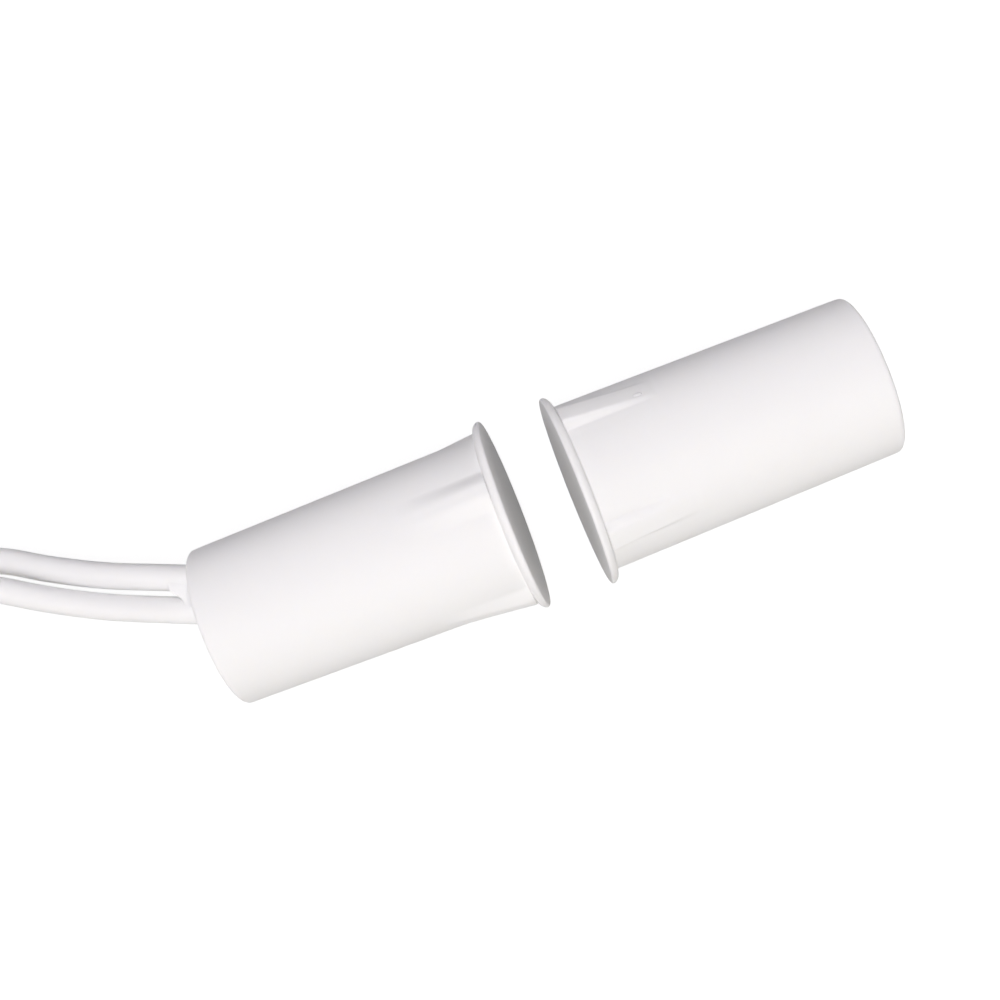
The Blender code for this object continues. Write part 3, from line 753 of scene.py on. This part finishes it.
def hank_points(low):
    """One lead wound in two layers: in on the outside, round inside, and out on the outside."""
    near = HANK_NEAR_X
    far = HANK_NEAR_X - HANK_RUN
    high = low + 1
    z_low = layer_height(low)
    z_high = layer_height(high)
    outer = OUTER_FOLD
    inner = INNER_FOLD
    return [
        *run_points(1, 0, low, near, far),
        *fold_points(far, 1, (outer, outer), (z_low, z_low)),
        *run_points(-1, 0, low, far, near),
        *fold_points(near, -1, (outer, inner), (z_low, z_low), (2 / 3, 1.0)),
        *run_points(1, 1, low, near, far),
        *fold_points(far, 1, (inner, inner), (z_low, z_low)),
        *run_points(-1, 1, low, far, near),
        *fold_points(near, -1, (inner, inner), (z_low, z_high), (1 / 3, 2 / 3)),
        *run_points(1, 1, high, near, far),
        *fold_points(far, 1, (inner, inner), (z_high, z_high)),
        *run_points(-1, 1, high, far, near),
        *fold_points(near, -1, (inner, outer), (z_high, z_high), (0.0, 1 / 3)),
        *run_points(1, 0, high, near, far),
    ]


def lead_points(start, leaving, route, low):
    """A lead from its end in the fill, over the table, through the hank and out of it."""
    inside = [SWITCH @ Vector((0.0, y, -depth)) for y, depth in (start, leaving)]
    entry = (HANK_NEAR_X, HANK_CENTRE_Y + OUTER_FOLD, layer_height(low))
    left = inside[-1]
    rise = left.z - entry[2]
    chosen = [(left.x + x * MM, left.y + y * MM, entry[2] + share * rise) for x, y, share in route]
    loose = smooth_path([*inside, *chosen, entry], LEAD_SPACING)
    hank = hank_points(low)
    tail = [(TAIL_END_X, hank[-1][1], hank[-1][2])]
    return [*loose[:-1], *hank, *tail]


def insulation_tree():
    """A round covering along a path."""
    tree = GeometryTree("insulation", {"Radius": LEAD_RADIUS, "Sides": LEAD_SIDES})
    line = tree.add("GeometryNodeMeshToCurve", None, [tree.size("Geometry")])
    ring = tree.add("GeometryNodeCurvePrimitiveCircle", None, {
        "Resolution": tree.size("Sides"),
        "Radius": tree.size("Radius"),
    })
    tube = tree.add("GeometryNodeCurveToMesh", None, {
        "Curve": line,
        "Profile Curve": ring,
        "Fill Caps": True,
    })
    return tree.finish(tube)


def stranded_tip_tree():
    """Six wires laid round a straight one, along Z."""
    tree = GeometryTree("stranded_tip", {
        "Wire Radius": STRAND_RADIUS,
        "Length": TIP_LENGTH,
        "Turns": TIP_LENGTH / STRAND_LAY,
        "Wires": STRANDS_AROUND,
    })
    wire = tree.size("Wire Radius")
    wires = tree.size("Wires")
    spiral = tree.add("GeometryNodeCurveSpiral", None, {
        "Resolution": STRAND_STEPS,
        "Rotations": tree.size("Turns"),
        "Start Radius": wire * 2.0,
        "End Radius": wire * 2.0,
        "Height": tree.size("Length"),
    })
    straight = tree.add("GeometryNodeCurvePrimitiveLine", None, {
        "End": tree.vector(0.0, 0.0, tree.size("Length")),
    })
    ring = tree.add("GeometryNodeCurvePrimitiveCircle", None, {
        "Resolution": STRAND_SIDES,
        "Radius": wire,
    })
    around = tree.add("GeometryNodeCurveToMesh", None, [spiral, ring])
    middle = tree.add("GeometryNodeCurveToMesh", None, [straight, ring])
    for tube in (around, middle):
        tube.node.inputs["Fill Caps"].default_value = True
    points = tree.add("GeometryNodePoints", None, {"Count": wires})
    index = tree.add("GeometryNodeInputIndex")
    turn = tree.vector(0.0, 0.0, index * (2 * math.pi) / wires)
    bundle = tree.add("GeometryNodeInstanceOnPoints", None, {
        "Points": points,
        "Instance": around,
        "Rotation": turn,
    })
    joined = tree.add("GeometryNodeJoinGeometry", None, [bundle])
    tree.tree.links.new(middle.socket, joined.node.inputs[0])
    return tree.finish(joined)


def make_lead(number, start, leaving, route, with_pieces):
    """A lead's insulation along its whole route, with the bare strands at its far end."""
    name = f"lead_{number}_insulation"
    points = lead_points(start, leaving, route, 2 * (number - 1))
    piece = grown(name, polyline(name, points), INSULATION_TREE, WHITE_PVC)
    face_outward(piece.data)
    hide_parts(f"lead_{number}", f"lead_{number}_hank", f"lead_{number}_tail")
    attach(piece, "root")

    tip = grown(f"lead_{number}_strands", bpy.data.meshes.new("tip"), TIP_TREE, TINNED)
    x, y, z = points[-1]
    turn = Matrix.Rotation(math.radians(-90), 4, "Y")
    tip.data.transform(Matrix.Translation((x + TIP_OVERLAP, y, z)) @ turn)
    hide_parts(f"lead_{number}_tip")
    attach(tip, "root")
    return piece


# Fills


def turned_piece(name, section, half, material):
    """A plain round piece in one of the halves, turned from its section."""
    points = [(radius, 0.0, z) for radius, z in section]
    piece = grown(name, polyline(name, points), SHELL_TREE, material, {
        "Columns": FILL_COLUMNS,
        "Rows": len(points),
    })
    piece.data.transform(half)
    face_outward(piece.data)
    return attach(piece, "root")


def fill_section(radius, front, rear):
    """A cast disc whose flat rear climbs the bore's wall in a hollow curve."""
    hollow = arc((radius - FILL_CLIMB, rear - FILL_CLIMB), FILL_CLIMB, 0, 90, 8)
    return [(0.0, front), (radius, front), *hollow, (0.0, rear)]


def make_adhesive():
    """The cast plug that closes the magnet half behind its rod."""
    front = -FRONT_WALL - 2 * FILL_CLEARANCE - MAGNET_ROD_LENGTH
    section = fill_section(MAGNET_BORE + FILL_COVER, front, FILL_RECESS - MAGNET_LENGTH)
    piece = turned_piece("magnet_fill", section, MAGNET_HALF, WHITE_COMPOUND)
    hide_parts("magnet_adhesive")


def join_round(shape, loops):
    """Closes a bmesh body whose rows of vertices run round it."""
    for lower, upper in zip(loops, loops[1:]):
        for i in range(len(lower)):
            shape.faces.new((lower[i - 1], lower[i], upper[i], upper[i - 1]))
    shape.faces.new(reversed(loops[0]))
    shape.faces.new(loops[-1])


# The fill's face is built in millimetres, because a voxel's size has a lower limit


def add_round_body(shape, rings):
    """Adds a closed round body to a bmesh, from its rings as (centre, axis, radius)."""
    loops = []
    for centre, axis, radius in rings:
        turn = axis.to_track_quat("Z", "Y").to_matrix()
        reach = radius / MM
        loop = []
        for i in range(RING_SIDES):
            angle = 2 * math.pi * i / RING_SIDES
            offset = turn @ Vector((reach * math.cos(angle), reach * math.sin(angle), 0.0))
            loop.append(shape.verts.new(centre / MM + offset))
        loops.append(loop)
    join_round(shape, loops)


def add_disc(shape):
    """The fill's flat rear, which climbs the bore's wall."""
    rear = FILL_RECESS - SWITCH_LENGTH
    down = Vector((0.0, 0.0, -1.0))
    section = fill_section(SWITCH_BORE + FILL_COVER, FILL_DEPTH + rear, rear)
    rings = [(Vector((0.0, 0.0, z)), down, max(radius, POLE_RADIUS)) for radius, z in section]
    add_round_body(shape, rings)


def add_crest(shape):
    """The rounded crest from which both leads leave."""
    radii = [(radius + FILL_COVER) / MM for radius in CREST_RADII]
    place = Matrix.Translation(Vector(CREST_CENTRE) / MM) @ Matrix.Diagonal((*radii, 1.0))
    bmesh.ops.create_uvsphere(shape, u_segments=64, v_segments=48, radius=1.0, matrix=place)


def add_collar(shape, start, leaving):
    """The fill's hollow flare that thins out along a lead."""
    run = Vector((0.0, leaving[0] - start[0], start[1] - leaving[1])).normalized()
    base = Vector((0.0, leaving[0], -leaving[1])) + run * ((leaving[1] - COLLAR_START) / run.z)
    rings = []
    for t in np.linspace(0.0, 1.0, COLLAR_RINGS):
        spread = (COLLAR_RADIUS - COLLAR_END_RADIUS) * (1 - t) ** COLLAR_HOLLOW
        rings.append((base + run * COLLAR_LENGTH * t, run, COLLAR_END_RADIUS + spread))
    add_round_body(shape, rings)


def add_web(shape):
    """The thin web of the fill that runs out between the two leads."""
    half = WEB_THICKNESS / 2
    join_round(shape, [
        [shape.verts.new((side / MM, y / MM, -depth / MM)) for y, depth in WEB_OUTLINE]
        for side in (-half, half)
    ])


def make_fill_face():
    """The fill's rear face, with its crest, collars and web made one and softened."""
    shape = bmesh.new()
    add_disc(shape)
    add_crest(shape)
    add_collar(shape, OUTER_START, OUTER_EXIT)
    add_collar(shape, INNER_START, INNER_EXIT)
    add_web(shape)
    bmesh.ops.recalc_face_normals(shape, faces=shape.faces)
    mesh = bpy.data.meshes.new("fill_face")
    shape.to_mesh(mesh)
    shape.free()

    host = placed("fill_face", mesh)
    join = host.modifiers.new("join", "REMESH")
    join.mode = "VOXEL"
    join.voxel_size = VOXEL_SIZE
    soften = host.modifiers.new("soften", "SMOOTH")
    soften.factor = 0.5
    soften.iterations = SOFTENING
    face = settled(host)
    face.materials.append(WHITE_COMPOUND)
    face.shade_smooth()
    face.transform(SWITCH @ Matrix.Scale(MM, 4))
    face_outward(face)
    piece = placed("fill_face", face)
    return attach(piece, "root")


# Tie


def tie_loop(grow):
    """The strap's rounded outline round the waist, grown outward, as (y, z) points."""
    half_width = WAIST_HALF_WIDTH + TIE_ROOM + grow
    half_height = (TIE_INNER_TOP - TIE_THICKNESS) / 2 + grow
    middle = (TIE_INNER_TOP + TIE_THICKNESS) / 2
    radius = TIE_CORNER + grow
    points = []
    for across, up, start in ((1, 1, 0), (-1, 1, 90), (-1, -1, 180), (1, -1, 270)):
        y = HANK_CENTRE_Y + across * (half_width - radius)
        z = middle + up * (half_height - radius)
        points += arc((y, z), radius, start, start + 90, 6)
    return points


def add_box(shape, centre, size):
    """Adds a box to a bmesh and returns its top face."""
    place = Matrix.Translation(centre) @ Matrix.Diagonal((*size, 1.0))
    made = bmesh.ops.create_cube(shape, size=1.0, matrix=place)
    faces = {face for vert in made["verts"] for face in vert.link_faces}
    return max(faces, key=lambda face: face.calc_center_median().z)


def tie_block():
    """The tie with sharp edges: its strap, its head with a dip, and the strap's cut end."""
    shape = bmesh.new()
    outer = tie_loop(TIE_THICKNESS)
    inner = tie_loop(0.0)
    loops = [
        [shape.verts.new((HANK_MIDDLE_X + side * TIE_WIDTH / 2, y, z)) for y, z in outline]
        for side, outline in ((-1, outer), (1, outer), (1, inner), (-1, inner))
    ]
    for first, second in zip(loops, [*loops[1:], loops[0]]):
        for i in range(len(first)):
            shape.faces.new((first[i - 1], first[i], second[i], second[i - 1]))
    head_z = TIE_INNER_TOP + (TIE_THICKNESS + TIE_HEAD[2]) / 2
    top = add_box(shape, (HANK_MIDDLE_X, HANK_CENTRE_Y, head_z), TIE_HEAD)
    bmesh.ops.inset_individual(shape, faces=[top], thickness=TIE_HEAD_WALL, depth=-TIE_HEAD_DIP)
    end_y = HANK_CENTRE_Y + (TIE_HEAD[1] + TIE_END_LENGTH) / 2 - TIE_THICKNESS
    end_size = (TIE_WIDTH, TIE_END_LENGTH + TIE_THICKNESS, TIE_THICKNESS)
    add_box(shape, (HANK_MIDDLE_X, end_y, head_z), end_size)
    bmesh.ops.recalc_face_normals(shape, faces=shape.faces)
    mesh = bpy.data.meshes.new("tie_block")
    shape.to_mesh(mesh)
    shape.free()
    return mesh


def make_tie():
    """A cable tie round the hank's waist, with rounded edges."""
    host = placed("hank_strap", tie_block())
    bevel = host.modifiers.new("bevel", "BEVEL")
    bevel.width = TIE_BEVEL
    bevel.segments = 3
    bevel.limit_method = "ANGLE"
    bevel.angle_limit = math.radians(50)
    tie = settled(host)
    tie.materials.append(WHITE_NYLON)
    tie.shade_smooth()
    piece = placed("hank_strap", tie)
    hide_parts("hank_tie")
    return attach(piece, "root")


# Stage


def seen_directly(tree):
    """1 for the rays that show the background: those of the camera, of gloss and of glass."""
    rays = tree.add("ShaderNodeLightPath")
    seen = rays.output("Is Camera Ray")
    for kind in ("Is Glossy Ray", "Is Transmission Ray"):
        seen = seen.math("MAXIMUM", seen, rays.output(kind))
    return seen


def make_floor():
    """A floor that looks white but for the part's shadow, and lights the part only a little."""
    bpy.ops.mesh.primitive_plane_add(size=FLOOR_SIZE)
    floor = bpy.context.object
    floor.name = "floor"
    material = bpy.data.materials.new("floor")
    material.use_nodes = True
    tree = Tree(material.node_tree)
    tree.tree.nodes.clear()
    bounce = tree.add("ShaderNodeBsdfDiffuse", None, {"Color": grey(FLOOR_BOUNCE)})
    shade = tree.add("ShaderNodeBsdfDiffuse", None, {"Color": grey(FLOOR_SHADE)})
    glow = tree.add("ShaderNodeEmission", None, {"Strength": FLOOR_GLOW})
    shown = tree.add("ShaderNodeAddShader", None, [shade, glow])
    both = tree.add("ShaderNodeMixShader", None, [seen_directly(tree), bounce, shown])
    end = tree.tree.nodes.new("ShaderNodeOutputMaterial")
    tree.feed(end.inputs["Surface"], both)
    floor.data.materials.append(material)


def make_camera():
    """The photograph's view, from nearly straight above the halves."""
    camera = bpy.data.cameras.new("camera")
    camera.sensor_width = SENSOR_WIDTH
    camera.lens = CAMERA_FOCAL
    camera.clip_start = CLIP_NEAR
    camera.clip_end = CLIP_FAR
    holder = placed("camera", camera)
    holder.location = CAMERA_PLACE
    holder.rotation_euler = CAMERA_TURN
    bpy.context.scene.camera = holder


def make_sky():
    """Soft light from a band over the part, and from both ends of it, on a white background."""
    world = bpy.data.worlds.new("sky")
    world.use_nodes = True
    bpy.context.scene.world = world
    tree = Tree(world.node_tree)
    tree.tree.nodes.clear()
    way = tree.add("ShaderNodeTexCoord").output("Generated")
    split = tree.add("ShaderNodeSeparateXYZ", None, [way])
    lean = split.math("ARCTAN2", split.output("Y"), split.output("Z"))
    turn = lean / math.pi + 0.5
    stops = [(angle / 180 + 0.5, level / SKY_PEAK) for angle, level in SKY_LEVELS]
    level = tree.add("ShaderNodeValToRGB", {"stops": stops}, [turn])
    colour = mixed(tree, turn, SKY_FRONT, SKY_BACK)
    along = split.output("X")
    shifted = along + SKY_SHIFT
    band = 1.0 - shifted * shifted
    band = band.math("MAXIMUM", band, 0.0) ** SKY_NARROWING
    spread = band * SKY_BAND + (along * along) ** 2.0 * SKY_SIDES
    strength = level * spread * SKY_PEAK
    light = tree.add("ShaderNodeBackground", None, {"Color": colour, "Strength": strength})
    white = tree.add("ShaderNodeBackground", None, [grey(1.0), 1.0])
    both = tree.add("ShaderNodeMixShader", None, [seen_directly(tree), light, white])
    end = tree.tree.nodes.new("ShaderNodeOutputWorld")
    tree.feed(end.inputs["Surface"], both)


bpy.context.scene.view_settings.view_transform = "Standard"
make_camera()
make_sky()
make_floor()

SHELL_TREE = turned_shell_tree()
INSULATION_TREE = insulation_tree()
TIP_TREE = stranded_tip_tree()

make_lead(1, OUTER_START, OUTER_EXIT, LEAD_1_ROUTE, [make_tie()])
make_lead(2, INNER_START, INNER_EXIT, LEAD_2_ROUTE, [])
make_fill_face()
make_adhesive()
make_shell(
    "switch_shell", "switch_housing", SWITCH, SWITCH_LENGTH, SWITCH_BORE, SWITCH_RIB_TURN,
    SWITCH_RIB_FLANK,
)
make_shell(
    "magnet_shell", "magnet_housing", MAGNET_HALF, MAGNET_LENGTH, MAGNET_BORE,
    MAGNET_RIB_TURN, MAGNET_RIB_FLANK, with_nub=True,
)
paint_nodes()
